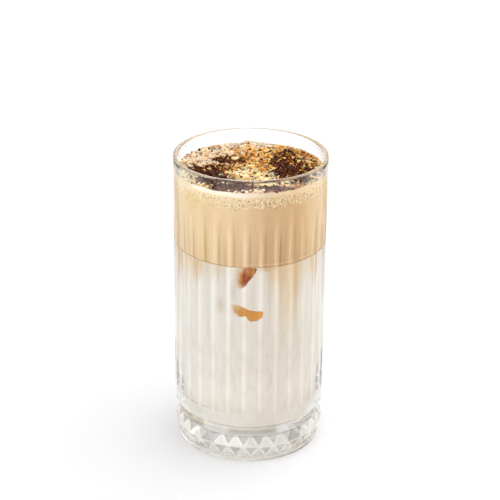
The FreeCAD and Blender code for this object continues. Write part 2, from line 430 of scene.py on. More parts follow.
def glassOutline():
    # Cross-section from under the foot, up the outside, over the lip and down the inside;
    # the third number says how the outside is cut: 0 plain, 1 flutes, 2 diamonds
    s = glassShape
    foot = glassRadius - s["footInset"]
    band = s["footHeight"] + s["diamondHeight"]
    waist = band + s["waistHeight"]
    ledge = waist + s["ledgeHeight"]
    hollow = foot - s["footRing"]
    under = roundedRun([
        (0, s["recessDepth"], 0), (hollow - s["recessDepth"], s["recessDepth"], 0.4),
        (hollow, 0, 0.3), (foot, 0, s["footRound"]), (foot, s["footHeight"], 0)])
    diamonds = [Vector((foot, s["footHeight"])), Vector((foot, band))]
    groove = roundedRun([
        (glassRadius - s["diamondInset"], band, 0), (glassRadius - s["waistInset"], band + 0.02, 0),
        (glassRadius - s["waistInset"], waist, s["ledgeRound"]),
        (glassRadius, ledge, s["ledgeRound"]), (glassRadius, ledge + 1.5, 0)])
    low = ledge + s["fluteGap"]
    high = glassHeight - s["lipBand"]
    wall = [Vector((glassRadius, height)) for height in (ledge + 1.6, low, high, glassHeight - 4)]
    lip = roundedRun([
        (glassRadius, glassHeight - 4, 0), (glassRadius, glassHeight, s["lipRound"]),
        (glassRadius - s["lipWall"], glassHeight, s["lipRound"]),
        (glassRadius - s["lipWall"] - 0.06, glassHeight - 3, 0)], steps=8)
    inside = [point for point in reversed(cavityRun()) if point.y < glassHeight - 3.1]

    def nearFlutes(point):
        if low - 1 < point.y < low + 7:
            return 0.6
        return 1.5 if high - 19 < point.y < high + 1 else 9.0

    stretches = [(refine(under, lambda p: 9.0), 0), (refine(diamonds, lambda p: 0.37), 2),
                 (refine(groove, lambda p: 1.5), 0), (refine(wall, nearFlutes), 1),
                 (lip, 0), (refine(inside, lambda p: 7.0), 0)]
    return [(point.x, point.y, cut) for points, cut in stretches for point in points]


def glassSizes():
    # The named inputs of the cutting tree
    s = glassShape
    half = math.pi / s["fluteCount"]
    across = glassRadius * math.sin(half)
    sag = glassRadius * math.cos(half) - (glassRadius - s["fluteDepth"])
    cutter = (across ** 2 + sag ** 2) / (2 * sag)
    band = s["footHeight"] + s["diamondHeight"]
    ledge = band + s["waistHeight"] + s["ledgeHeight"]
    return {
        "columns": s["columns"], "pitch": 2 * half, "turn": math.radians(s["fluteTurn"]),
        "fluteDepth": s["fluteDepth"], "ridgeRound": s["ridgeRound"],
        "edgeRound": s["edgeRound"], "cutter": cutter, "bend": s["fluteBend"],
        "fluteLow": ledge + s["fluteGap"] + math.sqrt(2 * cutter * s["fluteDepth"]),
        "fluteHigh": glassHeight - s["lipBand"] - math.sqrt(2 * s["fluteBend"] * s["fluteDepth"]),
        "bandLow": s["footHeight"], "girdle": s["footHeight"] + s["girdleRise"],
        "bandHigh": band, "radiusLow": glassRadius - s["diamondUndercut"],
        "radiusGirdle": glassRadius, "radiusHigh": glassRadius - s["diamondInset"],
    }


def flutedRadius(size, radius, height, off):
    # Each flute is the trace of a round cutter that leaves the wall in an arc at both ends
    below = (size["fluteLow"] - height).positive()
    above = (height - size["fluteHigh"]).positive()
    rise = below * below / size["cutter"] * 0.5 + above * above / size["bend"] * 0.5
    toNext = off * -1.0 + 2.0
    near = off * off * size["fluteDepth"]
    beyond = toNext * toNext * size["fluteDepth"]
    trough = near.softMin(beyond, size["ridgeRound"]) + rise - size["fluteDepth"]
    return radius + trough.softMin(0.0, size["ridgeRound"])


def facetRadii(size, height, off):
    # A facet is a plane; its distance from the axis changes evenly with height
    inner = size["pitch"] * 0.5
    flat = inner.do("COSINE")
    toRidge = off.rest() * inner
    toMiddle = off * inner
    girdle = size["radiusGirdle"]
    facets = []
    for level, ring in (("bandHigh", "radiusHigh"), ("bandLow", "radiusLow")):
        share = (height - size["girdle"]) / (size[level] - size["girdle"])
        down = girdle + share * (size[ring] * flat - girdle)
        upright = girdle * flat + share * (size[ring] - girdle * flat)
        facets += [down / toRidge.do("COSINE"), upright / toMiddle.do("COSINE")]
    return facets


def facetLight(size, facets, nearest, height, step):
    # Each facet gets its own painted shade; edges are left unshaded and flash as painted highlights
    look = glassLook
    shift = (step + 0.5).do("FRACT")
    cell = (step + 0.5).do("FLOOR")
    nextCell = step.do("FLOOR")
    shine = height * 0.0
    touching = height * 0.0
    for place, facet in enumerate(facets):
        gap = facet - nearest
        upright = place % 2
        number = (cell if upright else nextCell) * 12.99 + place * 3.7
        luck = (number.do("SINE") * 4375.8).do("FRACT")
        lean = shift if upright else (shift + 0.5).do("FRACT")
        low, spread, slope = look["facets"][place]
        own = gap.do("LESS_THAN", look["touch"])
        shine = shine.do("MAXIMUM", own * (luck * spread + lean * slope + low))
        touching = touching + gap.do("LESS_THAN", look["edge"])
    onEdge = touching.do("GREATER_THAN", 1.5)
    upperFace = ((facets[1] - nearest).do("LESS_THAN", look["touch"])
                 * height.do("GREATER_THAN", size["girdle"]))
    glint = (upperFace * look["faceGlint"]).do("MAXIMUM", onEdge * look["sparkle"])
    return shine.do("MAXIMUM", onEdge), glint


def glassTree(material):
    # Turns the cross-section round the axis and cuts flutes and diamonds into the outside
    sizes = glassSizes()
    tree, start, size = newTree("glassCutting", sizes)
    outline = start.outputs["Geometry"]
    count = node(tree, "GeometryNodeAttributeDomainSize", {"Geometry": outline})
    rows = Field(tree, count.outputs["Point Count"])
    grid = node(tree, "GeometryNodeMeshGrid", {"Vertices X": size["columns"] + 1.0,
                                               "Vertices Y": rows})
    index = Field(tree, node(tree, "GeometryNodeInputIndex").outputs[0])
    place = node(tree, "GeometryNodeSampleIndex", {
        "Geometry": outline, "Value": node(tree, "GeometryNodeInputPosition").outputs[0],
        "Index": index.do("MODULO", rows)}, data_type="FLOAT_VECTOR")
    split = node(tree, "ShaderNodeSeparateXYZ", {0: place.outputs[0]})
    radius, cut, height = [Field(tree, split.outputs[axis]) for axis in range(3)]
    angle = (index / rows).do("FLOOR") / size["columns"] * (2 * math.pi)
    step = (angle - size["turn"]) / size["pitch"]
    off = ((step + 0.5).do("FRACT") - 0.5).size() * 2.0
    facets = facetRadii(size, height, off)
    faceted = facets[0]
    nearest = facets[0]
    for facet in facets[1:]:
        faceted = faceted.softMin(facet, size["edgeRound"])
        nearest = nearest.do("MINIMUM", facet)
    shine, glint = facetLight(size, facets, nearest, height, step)
    isFlute = cut.do("COMPARE", 1.0, 0.1)
    isFacet = cut.do("COMPARE", 2.0, 0.1)
    reach = (radius + isFlute * (flutedRadius(size, radius, height, off) - radius)
             + isFacet * (faceted - radius))
    spot = node(tree, "ShaderNodeCombineXYZ", {0: reach * angle.do("COSINE"),
                                               1: reach * angle.do("SINE"), 2: height})
    made = node(tree, "GeometryNodeSetPosition", {"Geometry": grid.outputs[0],
                                                  "Position": spot.outputs[0]})
    # Painted facet shade and painted glints go to the material as attributes
    for name, value in (("shine", isFacet * (shine - 1.0) + 1.0), ("glint", isFacet * glint)):
        made = node(tree, "GeometryNodeStoreNamedAttribute", {
            "Geometry": made.outputs[0], "Name": name, "Value": value}, data_type="FLOAT")
    joined = node(tree, "GeometryNodeMergeByDistance", {"Geometry": made.outputs[0],
                                                        "Distance": 0.002})
    closeTree(tree, joined.outputs[0], material)
    return tree, sizes


def makeGlass():
    # The cut number travels as the outline's y
    outline = bpy.data.meshes.new("outline")
    outline.from_pydata([(across, cut, up) for across, up, cut in glassOutline()], [], [])
    tree, sizes = glassTree(glassMaterial())
    newPiece("drinkingGlass", grow(outline, tree, sizes), "clear_glass", "glass")


drinkShape = {"reach": 0.15, "columns": 180, "rowHeight": 2.0, "lineClearance": 1.0}

coffeeLook = {
    "levels": [(105.5, (230, 203, 160)), (109, (236, 211, 169)), (122, (236, 212, 171)),
        (133, (233, 208, 166)), (138, (236, 214, 174)), (141.0, (244, 226, 192)),
        (142.0, (255, 250, 240)), (145.5, (252, 244, 230))],
    # across: painted shade, darker right of the middle and lighter towards both sides
    "across": [(-36, (255, 255, 255)), (-18, (255, 252, 246)), (-6, (246, 240, 232)),
        (2, (238, 226, 212)), (8, (226, 206, 182)), (17, (226, 208, 184)),
        (26, (242, 230, 212)), (35, (255, 250, 244))],
    # The second and third colours here are painted shadow lines next to the ridges and painted light
    # lines on them
    "streak": (220, 184, 138), "ridgeShadow": (214, 178, 136), "ridge": (255, 238, 205),
    "glow": (250, 218, 166), "line": (184, 148, 106), "syrup": (226, 196, 130),
    "plain": (232, 203, 156), "bubbleRim": (176, 126, 70), "bubble": (250, 232, 194),
    "stains": ("streak", "ridgeShadow"), "lineShift": 2.4, "rough": 0.32,
}


def tanPaint(name):
    # Coffee and the side of its foam: one run of colour upwards, with painted shade darker to the right
    # of the middle and painted light towards both sides
    look = coffeeLook
    material, tree, shader = newMaterial(name, Roughness=look["rough"])
    spot, x, y, z, angle = objectPlace(tree)
    front = frontAngle(x, y)
    wander = (cloud(tree, spot, 9.0) - 0.5) * 2.2
    tint = colourRun(tree, z + wander * ramp(z, 108, 114), milkTop, glassHeight, look["levels"])
    # Painted shade across the drink, darker right of the middle
    sideShading = colourRun(tree, x + wander * 1.5, -glassRadius, glassRadius, look["across"])
    tint = mixed(tree, 1.0, tint, sideShading, "MULTIPLY")
    # Upright streaks, then painted light: bright lines behind the ridges and painted shadow lines next
    # to them, where light thins out behind the flutes
    streak = ramp(cloud(tree, spot, 2.4, 14.0), 0.45, 0.75) * ramp(z, 134.0, 122.0)
    shadowLines = ridgeShare(angle + math.radians(look["lineShift"]))
    fade = ramp(z, 133.0, 112.0)
    level = z + (cloud(tree, spot, 5.0) - 0.5) * 0.7 - milkTop
    # A drop of syrup left of the middle, wide above and narrow below
    width = ramp(z, 126.0, 136.0) * 7.5 + 1.2
    inside = ramp(width - (front + 50.0).size(), -0.5, 2.5)
    drop = inside * ramp(z, 126.5, 129.0) * ramp(z, 141.0, 138.6)
    # Cream stands at the front and on the left only
    plain = ramp(front, 8.0, 34.0) + ramp(front, -40.0, -56.0)
    # Fine bubbles just under the top
    cells = node(tree, "ShaderNodeTexVoronoi", {"Vector": spot, "Scale": 1 / (0.95 * mm)})
    core = Field(tree, cells.outputs["Distance"])
    band = (ramp(z, 134.6, 137.2) * ramp(z, 142.0, 140.4)
            * ramp(cloud(tree, spot, 3.2), 0.42, 0.62))
    tint = layered(tree, tint, look, [
        (streak * 0.26, "streak"),
        (ramp(shadowLines, 0.26, 0.04) * fade * 0.55, "ridgeShadow"),
        (ramp(ridgeShare(angle), 0.72, 0.97) * fade * 0.28, "ridge"),
        (hump(level, 1.5, 0.7) * 0.35, "glow"),
        (hump(level, 0.4, 0.6) * 0.55, "line"),
        (drop * 0.55, "syrup"),
        (plain * ramp(z, 140.6, 142.0) * 0.72, "plain"),
        (ramp(core, 0.40, 0.16) * band * 0.45, "bubbleRim"),
        (hump(core, 0.52, 0.16) * band * 0.5, "bubble"),
    ])
    tree.links.new(tint, shader.inputs["Base Color"])
    bump(tree, shader, cloud(tree, spot, 1.2), 0.2, 0.3)
    return material


milkLook = {
    # levels: the palest colour on the floor of the drink is painted light through the milk's underside
    "levels": [(10.5, (248, 249, 250)), (18, (236, 233, 227)), (45, (240, 236, 231)),
        (80, (242, 239, 235)), (97, (244, 241, 238)), (105.5, (242, 237, 229))],
    # across: painted shade, darker right of the middle and lighter towards both sides
    "across": [(-36, (255, 255, 255)), (-14, (253, 252, 251)), (0, (248, 245, 242)),
        (10, (240, 235, 230)), (20, (243, 239, 233)), (30, (252, 251, 249))],
    # Coffee that sinks from the line: degrees from the front, width, foot, amount
    "bleeds": [(-66, 30, 84, 0.95), (-45, 14, 90, 0.85), (-27, 9, 95, 0.45), (34, 16, 70, 0.9),
        (20, 9, 86, 0.75), (56, 14, 82, 0.8)],
    "bleed": (224, 188, 134), "streak": (226, 216, 202), "faint": (234, 206, 164),
    "grey": (206, 192, 182), "rosy": (214, 190, 176), "brown": (204, 164, 134),
    "under": (212, 176, 136), "amber": (230, 188, 130), "cool": (238, 234, 230),
    "stains": ("streak",), "rough": 0.28,
}


def milkPaint(name, cool):
    look = milkLook
    material, tree, shader = newMaterial(name, Roughness=look["rough"])
    spot, x, y, z, angle = objectPlace(tree)
    front = frontAngle(x, y)
    soft = cloud(tree, spot, 16.0) - 0.5
    # Colour up the milk, palest at its floor as painted light, then painted shade across it
    tint = colourRun(tree, z + soft * 8.0, 10.5, milkTop, look["levels"])
    sideShading = colourRun(tree, x + soft * 8.0, -glassRadius, glassRadius, look["across"])
    tint = mixed(tree, 1.0, tint, sideShading, "MULTIPLY")
    streak = cloud(tree, spot, 2.6, 12.0)
    layers = [(ramp(streak, 0.42, 0.7) * 0.30, "streak")]
    for middle, width, foot, amount in look["bleeds"]:
        window = hump(front + soft * 10.0, middle, width)
        length = ramp(z + (streak - 0.5) * 16.0, foot, milkTop)
        layers.append((window * length * ramp(streak, 0.25, 0.62) * amount, "bleed"))
    # Then the shade round the ice and its pockets
    tint = layered(tree, tint, look, layers + [
        (hump(front, 33.0, 17.0) * ramp(z, 52.0, 96.0) * 0.4, "faint"),
        (hump(front, -13.5, 3.6) * hump(z, 92.5, 9.0) * 0.6, "grey"),
        (hump(front, -23.0, 7.5) * hump(z, 85.0, 6.5) * 0.55, "rosy"),
        (hump(front, -8.5, 5.0) * hump(z, 99.5, 6.5) * 0.75, "brown"),
        (hump(front, 13.0, 10.0) * ramp(z + soft * 3.0, 102.4, 105.2) * 0.8, "under"),
        (hump(front, -12.0, 6.0) * hump(z, 82.2, 4.4) * 0.5, "amber"),
        (cool, "cool"),
    ])
    tree.links.new(tint, shader.inputs["Base Color"])
    bump(tree, shader, streak, 0.1, 0.3)
    return material


def boundary(angle):
    # Height of the line where the tan coffee lies on the milk
    return milkTop + 0.12 * math.sin(3 * angle + 0.6) + 0.08 * math.sin(7 * angle)


def turnedLayer(name, low, high):
    # Closed mesh of the cavity's shape from one line round the glass up to another; without a
    # low line it begins on the cavity's floor
    s = drinkShape
    start = low(0) + s["lineClearance"] if low else 0
    end = high(0) - s["lineClearance"]
    run = refine(cavityRun(s["reach"]), lambda p: s["rowHeight"])
    run = [point for point in run if point.x > 0 and start < point.y < end]
    columns = s["columns"]
    shell = bmesh.new()
    loops = [ring(shell, columns, lambda a, p=point: p.x, lambda a, p=point: p.y) for point in run]
    if low:
        loops.insert(0, ring(shell, columns, lambda a: cavityRadius(low(a), s["reach"]), low))
    loops.append(ring(shell, columns, lambda a: cavityRadius(high(a), s["reach"]), high))
    skin(shell, loops)
    for loop in (loops[0], loops[-1]):
        cap(shell, loop, shell.verts.new((0, 0, sum(vert.co.z for vert in loop) / len(loop))))
    bmesh.ops.recalc_face_normals(shell, faces=shell.faces)
    return plainMesh(name, shell)


def makeMilk():
    mesh = turnedLayer("milk", None, boundary)
    newPiece("milkLayer", mesh, "milk", "milk", material=milkPaint("paleMilk", 0.0))


def makeCoffee():
    mesh = turnedLayer("coffee", boundary, lambda a: coffeeTop)
    newPiece("coffeeLayer", mesh, "coffee", "coffee", material=tanPaint("tanCoffee"))


iceShape = {"middle": (-3.8, 91.0), "half": (11.2, 13.6, 11.0), "round": 4.5, "turn": -4.0,
            "reach": 0.19, "cuts": 14, "cool": 0.2, "taller": 2.0, "proud": 1.0,
            "worn": 0.04, "wornSize": 9.0, "under": 0.6}

# Coffee caught round the ice; outlines are (degrees from the front, height) points joined by a
# smooth closed curve
pockets = {
    "coffeePocket": {
        "outline": [(-8.8, 105.4), (5.2, 105.4), (3.8, 101.8), (-1.0, 98.4), (-4.4, 95.2),
        (-7.8, 94.2), (-10.6, 96.6), (-10.2, 101.5)],
        "depth": 3.0, "dark": (146, 62, 0), "pale": (226, 162, 78), "streak": 0.75,
        "run": (-11.0, 1.0), "fall": (106.0, 97.0), "haze": (-2.0, -8.0), "soft": 0.7},
    "caramelTail": {
        "outline": [(-15.8, 86.4), (-11.0, 86.6), (-6.0, 85.7), (-2.0, 84.0), (-1.6, 80.8),
        (-6.0, 79.6), (-11.0, 80.4), (-14.8, 83.0)],
        "depth": 1.6, "dark": (204, 142, 62), "pale": (226, 188, 138), "streak": 0.4,
        "run": (-14.0, -5.0), "fall": (87.0, 81.0), "haze": (-7.0, -10.0), "soft": 0.6},
    "caramelPocket": {
        "outline": [(-5.0, 84.4), (0.5, 83.6), (6.0, 83.1), (10.6, 82.9), (10.9, 80.6), (8.6, 78.3),
        (4.0, 77.6), (-0.8, 77.8), (-3.6, 80.0)],
        "depth": 2.4, "dark": (216, 150, 56), "pale": (194, 126, 50), "streak": 0.3,
        "run": (-6.0, -1.0), "fall": (86.0, 78.0), "haze": (12.0, 14.0), "soft": 0.2},
}

pocketShape = {"steps": 6, "rings": 7, "reach": 0.16, "bulge": 0.14,
               "edge": (176, 108, 44), "milky": (234, 218, 200)}


def smoothLoop(corners, steps):
    # A closed Catmull-Rom curve through the corners
    points = []
    count = len(corners)
    for index in range(count):
        before, here, there, after = [Vector(corners[(index + shift) % count])
                                      for shift in (-1, 0, 1, 2)]
        for step in range(steps):
            t = step / steps
            points.append(0.5 * (2 * here + (there - before) * t
                                 + (2 * before - 5 * here + 4 * there - after) * t ** 2
                                 + (3 * here - before - 3 * there + after) * t ** 3))
    return points


def makePocket(name):
    # A lens of coffee pressed flat against the inside of the glass
    s = pocketShape
    pocket = pockets[name]
    outline = smoothLoop(pocket["outline"], s["steps"])
    middle = sum(outline, Vector((0, 0))) / len(outline)
    shell = bmesh.new()
    rimShare = shell.verts.layers.float.new("rim")

    def corner(point, share, outside):
        place = middle.lerp(point, share)
        plump = 1 - share ** 2
        bulge = s["bulge"] if outside else -pocket["depth"]
        radius = cavityRadius(place.y, s["reach"] + bulge * plump)
        angle = math.radians(place.x)
        vert = shell.verts.new((radius * math.sin(angle), -radius * math.cos(angle), place.y))
        vert[rimShare] = share
        return vert

    rim = [corner(point, 1.0, True) for point in outline]
    for outside in (True, False):
        loops = [rim] + [[corner(point, step / s["rings"], outside) for point in outline]
                         for step in range(s["rings"] - 1, 0, -1)]
        skin(shell, loops)
        cap(shell, loops[-1], corner(middle, 0.0, outside))
    bmesh.ops.recalc_face_normals(shell, faces=shell.faces)
    newPiece(name, plainMesh(name, shell), "coffee", material=pocketPaint(name, pocket))


def pocketPaint(name, pocket):
    # Darker along its run and towards its lower end, in upright streaks; hazy on one side
    s = pocketShape
    material, tree, shader = newMaterial(name, Roughness=0.3, Specular_IOR_Level=0.0)
    spot, x, y, z, angle = objectPlace(tree)
    front = frontAngle(x, y)
    streak = (cloud(tree, spot, 1.5, 9.0, 2.0) - 0.5) * 3.0 * pocket["streak"]
    share = ramp(front, *pocket["run"]) * 0.55 + ramp(z, *pocket["fall"]) * 0.45 + streak
    tint = mixed(tree, ramp(share, 0.1, 0.85), colour(*pocket["pale"]), colour(*pocket["dark"]))
    rim = attribute(tree, "rim")
    tint = mixed(tree, hump(rim, 0.86, 0.14) * 0.3, tint, colour(*s["edge"]))
    hazy = ramp(rim + (cloud(tree, spot, 1.6) - 0.5) * 0.5, 1.0 - pocket["soft"], 1.0)
    tint = mixed(tree, hazy * ramp(front, *pocket["haze"]) * 0.9, tint, colour(*s["milky"]))
    tree.links.new(tint, shader.inputs["Base Color"])
    return material


def makeIce():
    # A worn ice cube whose face is pressed on the glass
    s = iceShape
    shell = bmesh.new()
    bmesh.ops.create_cube(shell, size=2.0)
    bmesh.ops.subdivide_edges(shell, edges=shell.edges, cuts=s["cuts"], use_grid_fill=True)
    middle = math.radians(s["middle"][0])
    turn = Matrix.Rotation(middle, 3, "Z") @ Matrix.Rotation(math.radians(s["turn"]), 3, "Y")
    away = Vector((math.sin(middle), -math.cos(middle), 0))
    seat = away * (glassRadius - s["half"][1] + s["proud"]) + Vector((0, 0, s["middle"][1]))
    sizes = Vector((s["half"][0], s["half"][1], s["half"][2] + s["taller"]))
    core = sizes - Vector((s["round"],) * 3)
    for vert in shell.verts:
        full = Vector([part * size for part, size in zip(vert.co, sizes)])
        inner = Vector([max(-c, min(c, part)) for part, c in zip(full, core)])
        rounded = full
        if (full - inner).length:
            rounded = inner + (full - inner).normalized() * s["round"]
        rounded *= 1 + s["worn"] * noise.noise(rounded / s["wornSize"])
        point = turn @ rounded + seat
        across = Vector((point.x, point.y))
        limit = cavityRadius(point.z, s["reach"])
        if across.length > limit:
            across *= limit / across.length
        vert.co = (across.x, across.y, min(point.z, milkTop - s["under"]))
    material = milkPaint("milkyIce", s["cool"])
    newPiece("iceCube", plainMesh("ice", shell), "milk", material=material)


foamShape = {
    "freeboard": 7.2, "mound": 0.45, "tilt": 0.45, "ripple": 0.3, "rippleLength": 11.0,
    "rings": 104, "columns": 440, "crowding": 0.85, "sideLevels": (0.0, 2.4, 4.6, 6.0),
    "bubbleSize": 3.0, "fineSize": 1.5, "bubbleRise": 0.6, "fineRise": 0.12, "lump": 0.4,
    "grit": 0.25, "creep": 0.4, "calm": 1.2,
    # The rim that shows through the lip: where it starts, how wide, which side of it is rosy
    "rimStart": 28.5, "rimWidth": 4.0, "rimPowder": 0.55, "rosyMiddle": 5.0, "rosyHalf": 27.0,
    "rosySoft": 10.0,
    # Large bubbles: (right, back, radius)
    "big": [(-7.5, 9.3, 2.4), (-12.2, 21.9, 2.0), (3.5, 15.0, 1.5), (-17.0, 13.5, 1.5)],
}

# Where powder and froth lie on the foam: (right, back, half width, half depth, amount)
foamPatches = {
    "powder": [(-21.0, -6.5, 10.5, 8.0, 1.2), (-10.5, 8.0, 7.5, 5.0, 1.05),
        (17.5, 6.5, 8.0, 13.5, 1.2), (25.0, -5.0, 8.0, 9.0, 1.3), (15.0, -7.0, 6.0, 8.5, 0.9),
        (-9.0, -29.6, 11.0, 4.2, 2.4), (13.0, -29.6, 8.5, 4.2, 2.4),
        (-17.5, -18.0, 9.0, 6.5, 1.0), (23.0, -18.0, 8.0, 6.5, 1.05)],
    "gold": [(21.0, 15.0, 15.0, 16.0, 1.0), (2.0, 11.0, 15.0, 10.0, 1.0), (-14.0, -3.0, 13.0, 6.0, 0.75),
        (27.0, 3.0, 8.0, 16.0, 1.0), (2.0, 23.0, 13.0, 7.0, 0.6), (8.0, 0.0, 9.0, 7.0, 0.8),
        (-29.0, 2.0, 5.0, 13.0, 0.4)],
    "froth": [(-25.0, 9.0, 9.5, 12.5, 1.0), (-13.0, 20.0, 9.0, 8.0, 0.8), (0.0, -34.0, 24.0, 2.4, 1.0),
        (0.0, 31.0, 24.0, 4.5, 1.0), (33.0, -4.0, 3.5, 20.0, 0.8)],
}

foamTints = {
    "cream": [(255, 228, 160), (252, 208, 128), (255, 242, 194), (216, 148, 70), (255, 246, 206)],
    "froth": [(255, 238, 210), (248, 220, 184), (232, 190, 150), (255, 246, 226), (166, 112, 72)],
    "gold": [(252, 186, 78), (216, 134, 34), (255, 226, 138), (134, 64, 12), (92, 40, 6)],
    "powder": [(44, 13, 2), (64, 23, 4), (28, 8, 1), (104, 46, 9), (50, 17, 3)],
}


def clamped(value):
    return min(1.0, max(0.0, value))


def foamHeight(x, y):
    # The same mounded and rippled top as the foam's solid
    s = foamShape
    far = (x * x + y * y) / glassRadius ** 2
    length = s["rippleLength"]
    ripple = math.sin(x / length * 4.1 + 1.1) * math.cos(y / length * 3.7 + 0.4)
    ripple += 0.5 * math.sin((x + 0.6 * y) / length * 7.3 + 2.0)
    return (glassHeight - s["freeboard"] + s["mound"] * (1 - far) - s["tilt"] * y / glassRadius
            + s["ripple"] * ripple / 1.5)


def patchAmount(kind, x, y):
    # How strongly a place is covered, with ragged edges
    wander = noise.noise_vector(Vector((x / 4.5, y / 4.5, 3.0))) * 3.2
    amount = 0.0
    for right, back, wide, deep, strength in foamPatches[kind]:
        far = math.hypot((x + wander.x - right) / wide, (y + wander.y - back) / deep)
        amount = max(amount, strength * clamped((1.35 - far) / 0.7))
    return amount


def cellAt(x, y, size):
    # The bubble that a place belongs to: nearness to its middle, to its edge, and its own number
    distances, centres = noise.voronoi(Vector((x / size, y / size, 0.5)))
    number = noise.cell(centres[0] * 7.31 + Vector((3.7, 1.9, 0))) * 0.5 + 0.5
    return distances[0], distances[1] - distances[0], number


def foamKind(powder, gold, froth, pick, chance):
    # Which run of tints a bubble takes
    if powder > 0.28 + 0.62 * ((pick + chance) % 1.0):
        return "powder"
    if gold > 0.3 + 0.45 * pick:
        return "gold"
    return "froth" if froth > 0.25 + 0.3 * chance else "cream"


def foamLook(x, y):
    # Relief and colour of the foam's top at one place, with painted highlights in the bubbles' middles
    # and painted shade between them
    s = foamShape
    rimward = clamped((math.hypot(x, y) - s["rimStart"]) / s["rimWidth"]) if y < 0 else 0.0
    powder = patchAmount("powder", x, y) * (1 - s["rimPowder"] * rimward)
    gold = patchAmount("gold", x, y)
    froth = patchAmount("froth", x, y)
    near, edge, number = cellAt(x, y, s["bubbleSize"])
    fine, fineEdge, fineNumber = cellAt(x + 40, y, s["fineSize"])
    chance = noise.noise(Vector((x / 1.7, y / 1.7, 9.0))) * 0.5 + 0.5
    pick = (number + fineNumber * 0.6) % 1.0
    kind = foamKind(powder, gold, froth, pick, chance)
    tint = tintVector(foamTints[kind][int(pick * 4.99)])
    rimTint = tintVector(foamTints["powder" if powder > 0.3 else "gold"][1])
    # Painted shade between bubbles, then a painted highlight in their middles
    rim = max(0.0, 1 - fineEdge / 0.2) * (0.35 + 0.55 * min(1.0, max(powder, gold)))
    glint = max(0.0, 1 - fine / 0.42) * (0.05 if kind == "powder" else 0.8)
    tint = tint.lerp(rimTint, min(1.0, rim)).lerp(Vector((1.0, 0.88, 0.64)), glint)
    tint *= 0.57 + 0.64 * number
    rosy = rimward * clamped((s["rosyHalf"] - abs(x - s["rosyMiddle"])) / s["rosySoft"])
    tint = tint.lerp(tintVector((186, 106, 66)), 0.5 * rosy)
    rise = s["bubbleRise"] * (1 - near ** 2 * 2.2) * (0.5 + 0.8 * number)
    rise += s["fineRise"] * (1 - fine ** 2 * 2)
    rise += s["lump"] * noise.noise(Vector((x / 6, y / 6, 5.0)))
    rise += s["grit"] * powder * noise.noise(Vector((x / 0.8, y / 0.8, 1.0)))
    for right, back, wide in s["big"]:
        far = math.hypot(x - right, y - back) / wide
        if far < 1:
            rise = rise * far + 0.42 * wide * math.sqrt(1 - far * far)
            tint = tintVector((252, 226, 162)).lerp(rimTint, max(0.0, far - 0.78) / 0.22)
            powder = gold = 0.0
    return rise, tint, powder, gold, froth


def makeFoam():
    # Loops up the side, then loops inwards over the top, which carry relief, tint with its painted
    # highlights and shade, and cover
    s = foamShape
    reach = drinkShape["reach"]
    shell = bmesh.new()
    paint = shell.verts.layers.float_color.new("tint")
    covers = ("powder", "gold", "froth", "top")
    cover = {name: shell.verts.layers.float.new(name) for name in covers}
    edge = cavityRadius(glassHeight - s["freeboard"], reach)
    loops = [ring(shell, s["columns"], lambda a: cavityRadius(coffeeTop + level, reach),
                  lambda a: coffeeTop + level) for level in s["sideLevels"]]
    for step in range(s["rings"]):
        far = edge * (1 - step / s["rings"]) ** s["crowding"]
        calm = min(1.0, (edge - far) / s["calm"])
        loops.append([])
        for a in turns(s["columns"]):
            x = far * math.cos(a)
            y = far * math.sin(a)
            rise, tint, *amounts = foamLook(x, y)
            height = foamHeight(x, y) + s["creep"] * (1 - calm) ** 2 + rise * calm
            vert = shell.verts.new((x, y, height))
            vert[paint] = (*tint, 1.0)
            amounts.append(min(1.0, (edge - far) / 0.4))
            for name, amount in zip(covers, amounts):
                vert[cover[name]] = amount
            loops[-1].append(vert)
    skin(shell, loops)
    for loop in (loops[0], loops[-1]):
        middle = shell.verts.new(sum((vert.co for vert in loop), Vector()) / len(loop))
        middle[paint] = loop[0][paint]
        middle[cover["top"]] = loop[0][cover["top"]]
        cap(shell, loop, middle)
    bmesh.ops.recalc_face_normals(shell, faces=shell.faces)
    data = plainMesh("foam", shell)
    scatterOnFoam(data.copy())
    newPiece("foamHead", data, "foam", "foam", material=foamPaint())


def foamPaint():
    # The side goes on from the coffee with its painted ridge light and shade; the top takes its own tint
    # with painted highlights and shade
    material = tanPaint("foamBody")
    tree = material.node_tree
    shader = tree.nodes["Principled BSDF"]
    shader.inputs["Roughness"].default_value = 0.45
    shader.inputs["Specular IOR Level"].default_value = 0.15
    side = shader.inputs["Base Color"].links[0].from_socket
    tint = node(tree, "ShaderNodeAttribute", attribute_name="tint").outputs["Color"]
    spot = node(tree, "ShaderNodeTexCoord").outputs["Object"]
    fleck = ramp(cloud(tree, spot, 1.0, 1.0, 2.0), 0.58, 0.64)
    tint = mixed(tree, fleck * 0.3, tint, colour(112, 66, 34), "MULTIPLY")
    top = mixed(tree, attribute(tree, "top"), side, tint)
    tree.links.new(top, shader.inputs["Base Color"])
    return material


